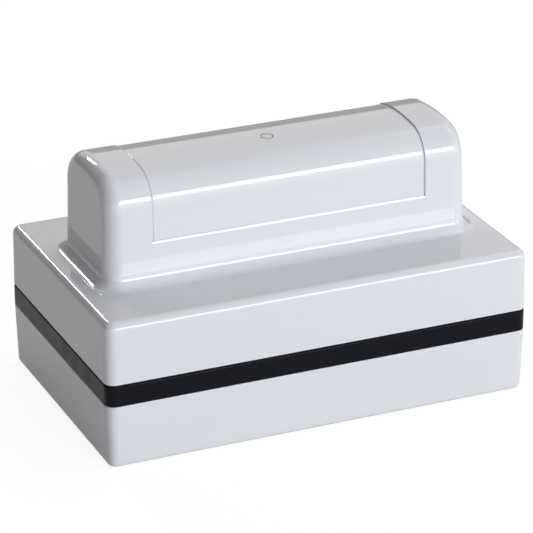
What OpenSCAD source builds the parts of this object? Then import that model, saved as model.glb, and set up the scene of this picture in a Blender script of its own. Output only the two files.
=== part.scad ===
// Pre-inked hand stamp, closed on its dust cap. Millimetres, +Z up, the origin is the
// centre of the cap's underside, +X runs along the stamp's length and -Y is its front.

/* [Imprint] */
// Length of the printed area
imprint_l = 90; // [70:1:110]
// Depth of the printed area, front to back
imprint_d = 40; // [32:1:56]
// How far the inked face is pressed down through the skirt
stroke = 2.5; // [1.5:0.1:3.5]

/* [Dust cap] */
// Height of the cap
cap_h = 16.0; // [14:0.5:20]
// Thickness of the cap's walls
cap_wall = 2.0; // [1.5:0.1:3]
// Thickness of the cap's floor
cap_floor = 1.8; // [1.2:0.1:2.4]
// How much each side of the cap tapers in towards the floor
cap_taper = 0.45; // [0:0.05:0.8]
// Radius of the cap's bottom edge
cap_edge_r = 1.1; // [0.5:0.1:1.4]

/* [Middle frame] */
// Height of the black band that shows between the cap and the housing
band_h = 5.3; // [4.5:0.1:9]
// Thickness of the band's wall
band_wall = 2.0; // [1.6:0.1:3]
// Thickness of the deck that carries the die holder
deck_t = 2.4; // [1.8:0.1:3]
// Depth of the spigot that the cap is pushed onto
spigot_h = 6.0; // [4:0.5:8]
// Thickness of the spigot's wall
spigot_wall = 1.6; // [1.2:0.1:2.2]

/* [Housing] */
// Height of the housing, from the top of the band to the flat top
housing_h = 15.8; // [12:0.2:24]
// Thickness of the housing's walls and top
housing_wall = 2.4; // [2:0.1:3]
// How much each side of the housing tapers in towards the top
housing_taper = 0.2; // [0:0.05:0.45]
// Radius of the housing's top edge
housing_edge_r = 2.1; // [0.8:0.1:2.1]
// Radius of the body's four upright corners
corner_r = 2.6; // [2.6:0.1:5]
// Height of the dark line between the band and the housing
reveal_h = 0.35; // [0.2:0.05:0.6]

/* [Handle] */
// Height of the handle above the housing
handle_h = 27.4; // [24:0.2:36]
// Depth of the handle at its foot, front to back
handle_d = 30.8; // [27:0.1:36]
// Distance from each end of the body to the handle's foot
handle_setback = 7.5; // [6:0.1:14]
// How much each side of the handle leans in from its foot up to the shoulders
handle_draft = 0.4; // [0:0.05:0.8]
// Radius of the crowned top
crown_r = 54.2; // [45:0.1:80]
// Radius of the shoulders between the crown and the sides
shoulder_r = 8.4; // [6.5:0.1:9]
// Radius of the edges round the handle's two ends
handle_edge_r = 3.8; // [1.5:0.1:4.5]
// Radius of the hollow round the handle's foot
foot_r = 3.4; // [1:0.1:4]

/* [Label cover] */
// Length of the cover along its lower edge
cover_l = 71.6; // [50:0.2:76]
// Height of the cover's lower edge above the housing
cover_base_h = 10.6; // [7:0.1:14]
// Thickness of the cover
cover_t = 1.7; // [1.2:0.1:2]
// How far the cover lies below the handle's two ends
cover_recess = 0.3; // [0.1:0.05:0.5]
// How much each end of the cover leans out towards the top
cover_lean = 0; // [0:0.1:1]

/* [Return springs] */
// Diameter of the spring wire
wire_d = 0.6; // [0.4:0.1:0.8]
// Outer diameter of the springs
spring_d = 4.6; // [4.2:0.1:5]
// Turns of each spring
spring_turns = 6; // [4:1:7]

/* [Hidden] */
// Clearances and the overrun of every cut
slide_gap = 0.25;
cap_gap = 0.25;
cover_gap = 0.3;
seam_gap = 0.2;
seat_gap = 0.15;
pin_gap = 0.05;
card_gap = 0.02;
ledge_gap = 0.1;
over = 1;
// How far the handle's shoulders stand proud of its crown where they meet, and the angle
// by which they reach in under it, so that the two surfaces cross instead of just touching
shoulder_proud = 0.05;
lap_a = 12;
// Height by which the handle's sides reach up into its shoulders, and depth of that step
lap_h = 0.2;
core_r = 1;
upright_h = 1.5;
// Step to which the shoulders' height is rounded
height_step = 0.001;

// Die holder, its clamp frame, the ink pad and the inked face
clamp_wall = 1.4;
clamp_lip = 1.15;
clamp_gap = 0.5;
clamp_recess = 0.3;
face_t = 1.5;
face_flange_t = 0.4;
pad_t = 3.6;
holder_t = 2.0;
hook_t = 0.8;
hook_reach = 0.6;
hook_l = 9;
holder_boss_d = 5;
holder_screw_x_share = 0.66;
holder_screw_y_share = 0.6;

// Skirt, its rim and its guide posts
skirt_wall = 1.5;
skirt_rim_t = 2.0;
skirt_top_room = 0.7;
side_channel = 5.2;
end_channel = 1.35;
post_d = 3.0;
post_x_share = 0.76;
post_gusset_t = 1.0;
post_gusset_h = 4;
guide_h = 6.5;
guide_d = 6.0;
washer_d = 5.8;
washer_t = 0.6;
stop_head_d = 4.0;
stop_head_h = 1.6;
stop_shank_d = 1.6;
stop_shank_l = 5;
socket_d = 1.9;
socket_h = 0.8;

// Screws between the parts
screw_d = 2.0;
screw_head_d = 4.4;
screw_head_h = 1.7;
screw_crown_share = 0.75;
screw_bite = 6;
frame_boss_d = 7.4;
frame_boss_h = 4.4;
counterbore_h = 2.0;
housing_boss_d = 6.2;
boss_inset = 5.0;
pilot_extra = 1;

// Cap details
rim_rest_h = 1.5;
rim_rest_t = 1.2;
die_headroom = 4.4;
cap_corner_r = 1.0;
cap_lip_r = 0.3;
snap_r = 1.2;
snap_reach = 0.2;
snap_l = 14;
snap_x_share = 0.5;
snap_depth = 3.2;
groove_extra = 0.25;
spigot_lead = 0.5;

// Middle frame and housing details
band_edge_r = 0.4;
band_foot_r = 0.2;
band_rib_t = 1.2;
band_rib_h = 1.8;
tongue_h = 2.0;
tongue_t = 1.2;
tongue_ledge_h = 3.0;
reveal_depth = 0.7;
skirt_edge_r = 0.5;
column_d = 7;
column_bore = 3.6;
column_x_share = 0.42;
handle_rib_t = 1.4;
rib_reach = 5;
saddle_wall = 2.0;
inner_edge_r = 0.4;
ledge_bevel_h = 0.4;
ledge_bevel_d = 0.15;
cover_catch_l = 10;
cover_catch_h = 1.2;
cover_catch_reach = 0.2;
cover_catch_x_share = 0.55;
card_l = 58;
card_d = 15;
card_t = 0.25;

// Sides of the faceted springs
spring_sides = 6;
spring_rings = 8;
$fn = 72;
crown_sides = 720;

// Half sizes, from the printed area outwards
clamp_hx = imprint_l / 2 + clamp_lip + clamp_wall;
clamp_hy = imprint_d / 2 + clamp_lip + clamp_wall;
channel_hx = clamp_hx + clamp_gap + end_channel;
channel_hy = clamp_hy + clamp_gap + side_channel;
skirt_hx = channel_hx + skirt_wall;
skirt_hy = channel_hy + skirt_wall;
spigot_hx = skirt_hx + slide_gap + spigot_wall;
spigot_hy = skirt_hy + slide_gap + spigot_wall;
body_hx = spigot_hx + cap_gap + cap_wall;
body_hy = spigot_hy + cap_gap + cap_wall;

// Heights, from the floor up
deck_z = cap_h;
deck_top = deck_z + deck_t;
band_top = cap_h + band_h;
housing_top = band_top + housing_h;
face_z = cap_floor + die_headroom;
rim_z = face_z - stroke;
pad_z = face_z + face_t;
holder_z = pad_z + pad_t;
holder_top = holder_z + holder_t;
skirt_top = deck_z - stroke - skirt_top_room;
rim_top = rim_z + skirt_rim_t;
guide_top = deck_z + guide_h;
frame_boss_top = deck_z + frame_boss_h;
handle_top = housing_top + handle_h;
cover_base = housing_top + cover_base_h;
catch_z = cover_base + 2 * seam_gap + cover_catch_h;

// Places of the posts and screws, for the +X +Y quarter
post_x = post_x_share * skirt_hx;
post_y = channel_hy - side_channel / 2;
boss_x = body_hx - housing_wall - boss_inset;
boss_y = body_hy - housing_wall - boss_inset;
holder_screw_x = holder_screw_x_share * clamp_hx;
holder_screw_y = holder_screw_y_share * clamp_hy;

// The handle's section: concentric arcs, so that every inset keeps these two centres. These
// half sizes are the ones at the shoulders; the foot is wider by the draft.
handle_hx = body_hx - handle_setback - handle_draft;
handle_hy = handle_d / 2 - handle_draft;
draft_z = housing_top + foot_r;
crown_z = handle_top - crown_r;
shoulder_y = handle_hy - shoulder_r;
shoulder_rise = sqrt(pow(crown_r + shoulder_proud - shoulder_r, 2) - pow(shoulder_y, 2));
shoulder_z = crown_z + round(shoulder_rise / height_step) * height_step;
lean_top = shoulder_z - upright_h;
tangent_a = atan2(shoulder_z - crown_z, shoulder_y);

// Depths below the handle's surface: cover, saddle and hollow
cover_in = cover_recess + cover_t;
saddle_in = cover_in + cover_gap;
hollow_in = saddle_in + saddle_wall;
column_x = column_x_share * handle_hx;

shell_grey = [0.83, 0.84, 0.87];
frame_black = [0.07, 0.08, 0.10];
skirt_grey = [0.30, 0.31, 0.33];

// One copy of the children in each of the four quarters
module quarters(x, y) {
    for (sx = [-1, 1], sy = [-1, 1]) translate([sx * x, sy * y, 0]) children();
}

// A rectangle of half sizes hx and hy with round corners
module round_rect(hx, hy, r) {
    square([2 * (hx - r), 2 * hy], center = true);
    square([2 * hx, 2 * (hy - r)], center = true);
    quarters(hx - r, hy - r) circle(r);
}

module round_block(hx, hy, r, z0, z1) {
    translate([0, 0, z0]) linear_extrude(z1 - z0) round_rect(hx, hy, r);
}

module tube(outer_d, inner_d, z0, z1) {
    translate([0, 0, z0]) difference() {
        cylinder(d = outer_d, h = z1 - z0);
        translate([0, 0, -over]) cylinder(d = inner_d, h = z1 - z0 + 2 * over);
    }
}

// Carries a profile round a rounded rectangle. The profile's x is measured outwards from
// the axis of the corners, and its y is height.
module swept(hx, hy, r) {
    for (turn = [0, 180]) rotate([0, 0, turn]) {
        translate([r - hx, hy - r, 0]) rotate([90, 0, 90]) linear_extrude(2 * (hx - r)) children();
        translate([hx - r, hy - r, 0]) rotate([90, 0, 0]) linear_extrude(2 * (hy - r)) children();
        translate([hx - r, hy - r, 0]) rotate_extrude(angle = 90) children();
        translate([r - hx, hy - r, 0]) rotate([0, 0, 90]) rotate_extrude(angle = 90) children();
    }
}

module quarter_disc(r) {
    intersection() {
        circle(r);
        square(r);
    }
}

// Half section of a tapered wall of height h, r from its axis at the foot, with a round
// edge at its narrower top and, where foot_r is over zero, at its foot
module tapered_profile(r, h, taper, top_r, foot_r) {
    cx = r - taper - top_r;
    cy = h - top_r;
    foot = foot_r > 0 ? [[r - foot_r, 0], [r - foot_r, foot_r], [r, foot_r]] : [[r, 0]];
    polygon(concat([[0, 0]], foot, [[r - taper, cy], [cx, cy], [cx, h], [0, h]]));
    translate([cx, cy]) quarter_disc(top_r);
    if (foot_r > 0) translate([r - foot_r, foot_r]) mirror([0, 1]) quarter_disc(foot_r);
}

// A block of half sizes hx and hy whose sides taper upwards and whose rims are round
module tapered_block(hx, hy, r, h, taper, top_r, foot_r) {
    swept(hx, hy, r) tapered_profile(r, h, taper, top_r, foot_r);
    linear_extrude(h) square([2 * (hx - r), 2 * (hy - r)], center = true);
}

// Half section of a drum of radius r that reaches hx along its axis, with round rims
module drum_profile(r, hx, edge_r) {
    translate([0, -hx]) square([r - edge_r, 2 * hx]);
    translate([0, edge_r - hx]) square([r, 2 * (hx - edge_r)]);
    for (s = [-1, 1]) translate([r - edge_r, s * (hx - edge_r)]) circle(edge_r);
}

// Such a drum from the level of its axis up to an angle, with its axis along X
module drum_sector(r, hx, edge_r, angle, sides = $fn) {
    rotate([90, 0, 90]) rotate_extrude(angle = angle, $fn = sides) drum_profile(r, hx, edge_r);
}

// The wedge of the handle between the two rays from the crown's centre through the
// shoulders' centres. Half its width grows evenly with height.
module crown_wedge() {
    z0 = shoulder_z - over / 2;
    z1 = handle_top + over;
    w0 = (z0 - crown_z) / tan(tangent_a);
    w1 = (z1 - crown_z) / tan(tangent_a);
    translate([-handle_hx - over, 0, 0]) rotate([90, 0, 90]) linear_extrude(2 * (handle_hx + over))
        polygon([[-w0, z0], [w0, z0], [w1, z1], [-w1, z1]]);
}

// How much wider the handle's sides stand at height z than at the shoulders
function spread(z) = handle_draft * max(lean_top - max(z, draft_z), 0) / (lean_top - draft_z);

// Half section of the handle's side from z0 up to the shoulders, r from its axis at the top:
// upright at the foot fillet, leaning in above it, upright again under the shoulder, and
// stepped in where it reaches up into the shoulder
module drafted_profile(r, z0) {
    foot = z0 < draft_z ? [[r + handle_draft, draft_z]] : [];
    lean = z0 < lean_top ? [[r, lean_top]] : [];
    polygon(concat([[0, z0], [r + spread(z0), z0]], foot, lean, [
        [r, shoulder_z], [r - lap_h, shoulder_z], [r - lap_h, shoulder_z + lap_h], [0, shoulder_z + lap_h]
    ]));
}

// The handle's solid from z0 up, with its surface moved in by inset: leaning sides, two
// shoulders and the crown
module handle_form(inset, z0, hx = handle_hx) {
    edge_r = max(handle_edge_r - inset, inner_edge_r);
    half_x = hx - inset;
    half_y = handle_hy - inset;
    swept(half_x, half_y, edge_r) drafted_profile(edge_r, z0);
    translate([0, 0, z0]) linear_extrude(shoulder_z - z0)
        square([2 * (half_x - edge_r), 2 * (half_y - edge_r)], center = true);
    for (turn = [0, 180]) rotate([0, 0, turn]) translate([0, shoulder_y, shoulder_z]) {
        drum_sector(shoulder_r - inset, half_x, edge_r, tangent_a + lap_a);
        // Core on the line where the block, the shoulder and the crown meet
        rotate([90, 0, 90])
            cylinder(r = core_r, h = 2 * half_x, center = true);
    }
    intersection() {
        translate([0, 0, crown_z]) drum_sector(crown_r - inset, half_x, edge_r, 180, crown_sides);
        crown_wedge();
    }
}

// The zone of the handle that the label cover takes up, shrunk by gap at its two ends and
// by base_gap at its foot
module cover_zone(gap, base_gap) {
    hx = cover_l / 2 - gap;
    z0 = cover_base + base_gap;
    rise = handle_top + over - cover_base;
    lean = cover_lean * rise / (handle_top - cover_base);
    depth = handle_hy + handle_draft + over;
    translate([0, depth, 0]) rotate([90, 0, 0]) linear_extrude(2 * depth)
        polygon([[-hx, z0], [hx, z0], [hx + lean, z0 + rise], [-hx - lean, z0 + rise]]);
}

// Snap bars of the label cover on both long sides; with gap the bars become their grooves
module cover_catches(depth, gap) {
    for (sx = [-1, 1], turn = [0, 180]) rotate([0, 0, turn])
        translate([
            sx * cover_catch_x_share * cover_l / 2 - cover_catch_l / 2 - gap,
            handle_hy + spread(catch_z) - cover_in - depth, catch_z - gap
        ])
            cube([cover_catch_l + 2 * gap, depth + cover_t / 2, cover_catch_h + 2 * gap]);
}

// Round snap bars at the cap's mouth, of radius r, whose axes lie at distance y from the middle
module snap_bars(r, y, l) {
    for (sx = [-1, 1], sy = [-1, 1])
        translate([sx * snap_x_share * body_hx - l / 2, sy * y, cap_h - snap_depth])
            rotate([0, 90, 0]) cylinder(r = r, h = l);
}

module dust_cap() color(shell_grey) {
    inner_hx = body_hx - cap_wall;
    inner_hy = body_hy - cap_wall;
    difference() {
        translate([0, 0, cap_h]) mirror([0, 0, 1])
            tapered_block(body_hx, body_hy, corner_r, cap_h, cap_taper, cap_edge_r, cap_lip_r);
        round_block(inner_hx, inner_hy, cap_corner_r, deck_z - spigot_h - over / 2, cap_h + over);
        round_block(inner_hx - cap_taper, inner_hy - cap_taper, cap_corner_r, cap_floor, cap_h);
    }
    // Loop on the floor that the skirt's rim hovers over
    difference() {
        round_block(channel_hx, channel_hy, cap_corner_r, cap_floor / 2, cap_floor + rim_rest_h);
        round_block(channel_hx - rim_rest_t, channel_hy - rim_rest_t, cap_corner_r, 0, cap_h);
    }
    // Snap bars, each sunk in the wall but for its crest
    intersection() {
        snap_bars(snap_r, inner_hy + snap_r - snap_reach, snap_l);
        round_block(body_hx - cap_wall / 2, body_hy - cap_wall / 2, cap_corner_r, cap_floor, cap_h);
    }
}

module skirt() color(skirt_grey) {
    difference() {
        translate([0, 0, skirt_top]) mirror([0, 0, 1])
            tapered_block(skirt_hx, skirt_hy, cap_corner_r, skirt_top - rim_z, 0, skirt_edge_r, 0);
        round_block(channel_hx, channel_hy, cap_corner_r, rim_top, skirt_top + over);
        round_block(clamp_hx + clamp_gap, clamp_hy + clamp_gap, cap_corner_r, rim_z - over, skirt_top);
    }
    quarters(post_x, post_y) difference() {
        translate([0, 0, rim_top - skirt_rim_t / 2])
            cylinder(d = post_d, h = guide_top - rim_top + skirt_rim_t / 2);
        translate([0, 0, guide_top - stop_shank_l - pilot_extra])
            cylinder(d = stop_shank_d + 2 * pin_gap, h = stop_shank_l + pilot_extra + over);
    }
    // Webs along the wall that stiffen the rim's four quarters
    for (sx = [-1, 1], sy = [-1, 1])
        translate([
            sx * (post_x + skirt_hx) / 2 - post_gusset_t / 2,
            sy > 0 ? channel_hy - side_channel / 2 : -channel_hy - skirt_wall / 2,
            rim_top - skirt_rim_t / 2
        ])
            cube([post_gusset_t, side_channel / 2 + skirt_wall / 2, post_gusset_h]);
}

module middle_frame() color(frame_black) {
    difference() {
        union() {
            translate([0, 0, cap_h])
                tapered_block(body_hx, body_hy, corner_r, band_h, 0, band_edge_r, band_foot_r);
            // Spigot with a round lead-in
            difference() {
                translate([0, 0, deck_top]) mirror([0, 0, 1]) tapered_block(
                    spigot_hx, spigot_hy, cap_corner_r, spigot_h + deck_t, 0, spigot_lead, 0);
                snap_bars(
                    snap_r + groove_extra, body_hy - cap_wall + snap_r - snap_reach, snap_l + 2 * over);
            }
        }
        // Room for the sliding skirt, below the deck
        round_block(spigot_hx - spigot_wall, spigot_hy - spigot_wall, cap_corner_r, 0, deck_z);
        // Room above the deck
        round_block(body_hx - band_wall, body_hy - band_wall, cap_corner_r, deck_top, band_top + over);
        frame_holes();
    }
    difference() {
        quarters(boss_x, boss_y) translate([0, 0, deck_top - deck_t / 2])
            cylinder(d = frame_boss_d, h = frame_boss_top - deck_top + deck_t / 2);
        frame_holes();
    }
    difference() {
        quarters(post_x, post_y) translate([0, 0, deck_top - deck_t / 2])
            cylinder(d = guide_d, h = guide_top - deck_top + deck_t / 2);
        frame_holes();
    }
    deck_ribs();
}

// Every hole that goes through the deck and its bosses
module frame_holes() {
    quarters(post_x, post_y) translate([0, 0, deck_z - over])
        cylinder(d = post_d + 2 * pin_gap, h = guide_h + 2 * over);
    quarters(boss_x, boss_y) {
        translate([0, 0, deck_z - over])
            cylinder(d = screw_d + 2 * seat_gap, h = frame_boss_h + 2 * over);
        translate([0, 0, deck_z - over])
            cylinder(d = screw_head_d + 2 * seat_gap, h = counterbore_h + over);
    }
    quarters(holder_screw_x, holder_screw_y) translate([0, 0, deck_z - over])
        cylinder(d = screw_d + 2 * seat_gap, h = deck_t + 2 * over);
}

// Ribs that stiffen the deck between its screws
module deck_ribs() {
    rib_hx = holder_screw_x - screw_head_d;
    translate([0, 0, deck_top - deck_t / 2]) {
        for (s = [-1, 1]) translate([-clamp_hx, s * (clamp_hy - band_rib_t) - band_rib_t / 2, 0])
            cube([2 * clamp_hx, band_rib_t, deck_t / 2 + band_rib_h]);
        for (s = [-1, 1]) translate([s * rib_hx - band_rib_t / 2, band_rib_t / 2 - clamp_hy, 0])
            cube([band_rib_t, 2 * clamp_hy - band_rib_t, deck_t / 2 + band_rib_h]);
    }
}

module upper_housing() color(shell_grey) {
    difference() {
        union() {
            housing_shell();
            difference() {
                handle_form(0, housing_top - housing_wall / 2);
                difference() {
                    cover_zone(0, 0);
                    handle_form(saddle_in, shoulder_z - handle_h);
                }
                ledge_bevel();
            }
            foot_fillet();
        }
        handle_hollow();
        cover_catches(cover_catch_reach + cover_gap + pin_gap, seam_gap);
        card_pocket();
    }
    handle_ribs();
    housing_bosses();
}

// The box-like lower part: a tapered shell, its tongue and the dark line over the band
module housing_shell() {
    difference() {
        translate([0, 0, band_top])
            tapered_block(body_hx, body_hy, corner_r, housing_h, housing_taper, housing_edge_r, 0);
        round_block(body_hx - housing_wall - housing_taper, body_hy - housing_wall - housing_taper,
            cap_corner_r, band_top + tongue_ledge_h, housing_top - housing_wall);
        round_block(body_hx - band_wall - seat_gap - tongue_t, body_hy - band_wall - seat_gap - tongue_t,
            cap_corner_r, band_top - over, housing_top - housing_wall);
        // The reveal
        difference() {
            round_block(body_hx + over, body_hy + over, corner_r, band_top - over, band_top + reveal_h);
            round_block(body_hx - reveal_depth, body_hy - reveal_depth, corner_r - reveal_depth,
                band_top - 2 * over, band_top + reveal_h + over);
        }
    }
    difference() {
        round_block(body_hx - band_wall - seat_gap, body_hy - band_wall - seat_gap, cap_corner_r,
            band_top - tongue_h, band_top + tongue_ledge_h / 2);
        round_block(body_hx - band_wall - seat_gap - tongue_t, body_hy - band_wall - seat_gap - tongue_t,
            cap_corner_r, band_top - tongue_h - over, band_top + tongue_ledge_h);
    }
}

// Slope along the outer rim of the ledge under the label cover
module ledge_bevel() {
    y = handle_hy + spread(cover_base);
    for (turn = [0, 180]) rotate([0, 0, turn]) translate([-cover_l / 2, 0, cover_base])
        rotate([90, 0, 90]) linear_extrude(cover_l) polygon([
            [y - ledge_bevel_d, over], [y - ledge_bevel_d, 0], [y + handle_draft, -ledge_bevel_h
                - ledge_bevel_h * handle_draft / ledge_bevel_d], [y + over, over]]);
}

// The hollow curve between the handle's sides and the flat top
module foot_fillet() {
    r = handle_edge_r + handle_draft + foot_r;
    translate([0, 0, housing_top])
        swept(handle_hx + handle_draft + foot_r, handle_hy + handle_draft + foot_r, r) difference() {
            translate([0, -housing_wall / 2]) square([r, foot_r + housing_wall / 2]);
            translate([r, foot_r]) circle(foot_r);
        }
}

// The hollow of the handle: close under the saddle, wider in the two ends
module handle_hollow() {
    end_x = cover_l / 2 + cover_lean + saddle_wall;
    handle_form(hollow_in, housing_top - housing_wall - over, handle_hx - housing_wall + hollow_in);
    difference() {
        handle_form(housing_wall, housing_top - housing_wall - over);
        translate([-end_x, -handle_hy, 0]) cube([2 * end_x, 2 * handle_hy, handle_top]);
    }
}

// Cross ribs in the handle, which reach down towards the deck
module handle_ribs() {
    difference() {
        intersection() {
            handle_form(saddle_in + saddle_wall / 2, housing_top - housing_wall - rib_reach);
            for (s = [-1, 0, 1])
                translate([s * column_x - handle_rib_t / 2, -handle_hy, 0])
                    cube([handle_rib_t, 2 * handle_hy, handle_top]);
        }
        for (s = [-1, 1]) translate([s * column_x, 0, 0]) cylinder(d = column_bore, h = housing_top);
    }
}

// Four screw bosses at the corners and the two columns that press on the deck
module housing_bosses() {
    quarters(boss_x, boss_y) difference() {
        translate([0, 0, frame_boss_top])
            cylinder(d = housing_boss_d, h = housing_top - housing_wall / 2 - frame_boss_top);
        translate([0, 0, frame_boss_top - over])
            cylinder(d = screw_d + 2 * pin_gap, h = screw_bite + pilot_extra + over);
    }
    for (s = [-1, 1]) translate([s * column_x, 0, 0]) difference() {
        translate([0, 0, deck_top]) cylinder(d = column_d, h = housing_top + rib_reach - deck_top);
        translate([0, 0, deck_top - over]) cylinder(d = column_bore, h = housing_top - deck_top + over);
    }
}

// Shallow pocket for the card in the saddle's crown, shrunk by gap, between two depths
module card_slab(depth0, depth1, gap) {
    intersection() {
        difference() {
            handle_form(depth0, shoulder_z - over);
            handle_form(depth1, shoulder_z - 2 * over);
        }
        translate([gap - card_l / 2, gap - card_d / 2, shoulder_z])
            cube([card_l - 2 * gap, card_d - 2 * gap, handle_top - shoulder_z]);
    }
}

module card_pocket() {
    card_slab(saddle_in - cover_gap, saddle_in + card_t, -card_gap);
}

module index_card() color("white") {
    card_slab(saddle_in, saddle_in + card_t - card_gap, seam_gap);
}

module label_cover() color(shell_grey) {
    intersection() {
        cover_zone(seam_gap, ledge_gap);
        difference() {
            handle_form(cover_recess, cover_base - over);
            handle_form(cover_in, cover_base - 2 * over);
        }
    }
    cover_catches(cover_catch_reach, 0);
}

module die_holder() color(frame_black) {
    difference() {
        union() {
            translate([0, 0, holder_z]) linear_extrude(holder_t)
                square([2 * (clamp_hx - clamp_wall - pin_gap), 2 * (clamp_hy - clamp_wall - pin_gap)],
                    center = true);
            quarters(holder_screw_x, holder_screw_y) translate([0, 0, holder_z + holder_t / 2])
                cylinder(d = holder_boss_d, h = deck_z - holder_z - holder_t / 2);
            holder_ribs();
        }
        quarters(holder_screw_x, holder_screw_y) translate([0, 0, holder_z + holder_t / 4])
            cylinder(d = screw_d + 2 * pin_gap, h = deck_z);
    }
}

// Ribs on the holder's back, whose tops bear on the deck
module holder_ribs() {
    translate([0, 0, holder_z + holder_t / 2]) {
        for (s = [-1, 1]) translate([-holder_screw_x, s * holder_screw_y - band_rib_t / 2, 0])
            cube([2 * holder_screw_x, band_rib_t, deck_z - holder_z - holder_t / 2]);
        for (s = [-1, 1]) translate([s * holder_screw_x - band_rib_t / 2, -holder_screw_y, 0])
            cube([band_rib_t, 2 * holder_screw_y, deck_z - holder_z - holder_t / 2]);
    }
}

// A sheet of foam that fills the inside of the clamp
module clamped_sheet(z, t) {
    translate([0, 0, z]) linear_extrude(t) square(
        [2 * (clamp_hx - clamp_wall - seat_gap), 2 * (clamp_hy - clamp_wall - seat_gap)], center = true);
}

module ink_pad() color([0.20, 0.08, 0.10]) {
    clamped_sheet(pad_z, pad_t);
}

// The inked face: a printing block and the thin flange that the clamp holds
module stamp_face() color([0.55, 0.55, 0.58]) {
    translate([0, 0, face_z]) linear_extrude(face_t) square([imprint_l, imprint_d], center = true);
    clamped_sheet(pad_z - face_flange_t, face_flange_t);
}

// Frame that clamps the face and the pad under the holder, with hooks over its back edge
module face_clamp() color(frame_black) {
    inner_hx = clamp_hx - clamp_wall;
    inner_hy = clamp_hy - clamp_wall;
    difference() {
        round_block(clamp_hx, clamp_hy, cap_corner_r, face_z + clamp_recess, holder_top);
        translate([0, 0, pad_z - face_flange_t]) linear_extrude(deck_z)
            square([2 * inner_hx, 2 * inner_hy], center = true);
        linear_extrude(deck_z)
            square([imprint_l + 2 * seat_gap, imprint_d + 2 * seat_gap], center = true);
    }
    for (turn = [0, 180]) rotate([0, 0, turn]) {
        for (s = [-1, 1]) translate([s * inner_hx / 2 - hook_l / 2, inner_hy - hook_reach, holder_top])
            cube([hook_l, hook_reach + clamp_wall, hook_t]);
        translate([inner_hx - hook_reach, -hook_l / 2, holder_top])
            cube([hook_reach + clamp_wall, hook_l, hook_t]);
    }
}

// A pan-head screw with its seat at z = 0, its head above and its shank below
module screw(head_d, head_h, shank_d, shank_l) {
    difference() {
        union() {
            cylinder(d = head_d, h = head_h / 2);
            translate([0, 0, head_h / 2])
                cylinder(d1 = head_d, d2 = screw_crown_share * head_d, h = head_h / 2);
            translate([0, 0, -shank_l]) cylinder(d = shank_d, h = shank_l + head_h / 2);
        }
        translate([0, 0, head_h - socket_h]) cylinder(d = socket_d, h = socket_h + over, $fn = 6);
    }
}

module holder_screws() color("silver") {
    quarters(holder_screw_x, holder_screw_y) translate([0, 0, deck_top])
        screw(screw_head_d, screw_head_h, screw_d, deck_top - holder_top);
}

module housing_screws() color("silver") {
    quarters(boss_x, boss_y) translate([0, 0, deck_z + counterbore_h]) mirror([0, 0, 1])
        screw(screw_head_d, screw_head_h, screw_d, frame_boss_h - counterbore_h + screw_bite);
}

module skirt_stop_washers() color("silver") {
    quarters(post_x, post_y)
        tube(washer_d, stop_shank_d + 2 * pin_gap, guide_top, guide_top + washer_t);
}

module skirt_stop_screws() color("silver") {
    quarters(post_x, post_y) translate([0, 0, guide_top + washer_t])
        screw(stop_head_d, stop_head_h, stop_shank_d, washer_t + stop_shank_l);
}

// A coil spring round one post, as one unbroken tube. Points of the wire's middle line
// follow a helix; ring k is square to the helix there.
spring_r = (spring_d - wire_d) / 2;
spring_z0 = rim_top + wire_d / 2 + pin_gap;
spring_z1 = deck_z - wire_d / 2 - pin_gap;
spring_pitch = (spring_z1 - spring_z0) / spring_turns;
spring_steps = spring_turns * spring_rings;
function spring_mid(k) = let (a = 360 * k / spring_rings)
    [spring_r * cos(a), spring_r * sin(a), spring_z0 + spring_pitch * k / spring_rings];
function spring_ring(k) = let (
    a = 360 * k / spring_rings,
    rise = atan2(spring_pitch, 2 * PI * spring_r),
    out = [cos(a), sin(a), 0],
    side = [sin(rise) * sin(a), -sin(rise) * cos(a), cos(rise)]
) [for (j = [0 : spring_sides - 1]) let (b = 360 * j / spring_sides)
    spring_mid(k) + wire_d / 2 * (cos(b) * out + sin(b) * side)];
function spring_faces() = concat(
    [[for (j = [spring_sides - 1 : -1 : 0]) j]],
    [for (k = [0 : spring_steps - 1], j = [0 : spring_sides - 1], half = [0, 1])
        let (a = k * spring_sides + j, b = k * spring_sides + (j + 1) % spring_sides)
        half == 0 ? [a, b, b + spring_sides] : [a, b + spring_sides, a + spring_sides]],
    [[for (j = [0 : spring_sides - 1]) spring_steps * spring_sides + j]]
);
// The least gap between one turn's points and the next turn's points
spring_gap = min([for (j = [0 : spring_sides - 1], m = [0 : spring_sides - 1])
    norm(spring_ring(spring_rings)[j] - spring_ring(0)[m])]);
echo(spring_gap = spring_gap);

module return_spring(sx, sy) color([0.75, 0.76, 0.78]) {
    translate([sx * post_x, sy * post_y, 0]) polyhedron(
        points = [for (k = [0 : spring_steps], p = spring_ring(k)) p],
        faces = spring_faces()
    );
}

dust_cap();
upper_housing();
middle_frame();
die_holder();
ink_pad();
stamp_face();
face_clamp();
holder_screws();
housing_screws();
index_card();
skirt();
skirt_stop_washers();
skirt_stop_screws();
label_cover();
return_spring(-1, -1);  // return_spring_1
return_spring(1, -1);  // return_spring_2
return_spring(1, 1);  // return_spring_3
return_spring(-1, 1);  // return_spring_4
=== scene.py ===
"""Dresses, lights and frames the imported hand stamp: glossy pale shells, a black frame, a
sprung skirt, foam pads, coil springs, screws and a card, on a pale studio floor."""

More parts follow.
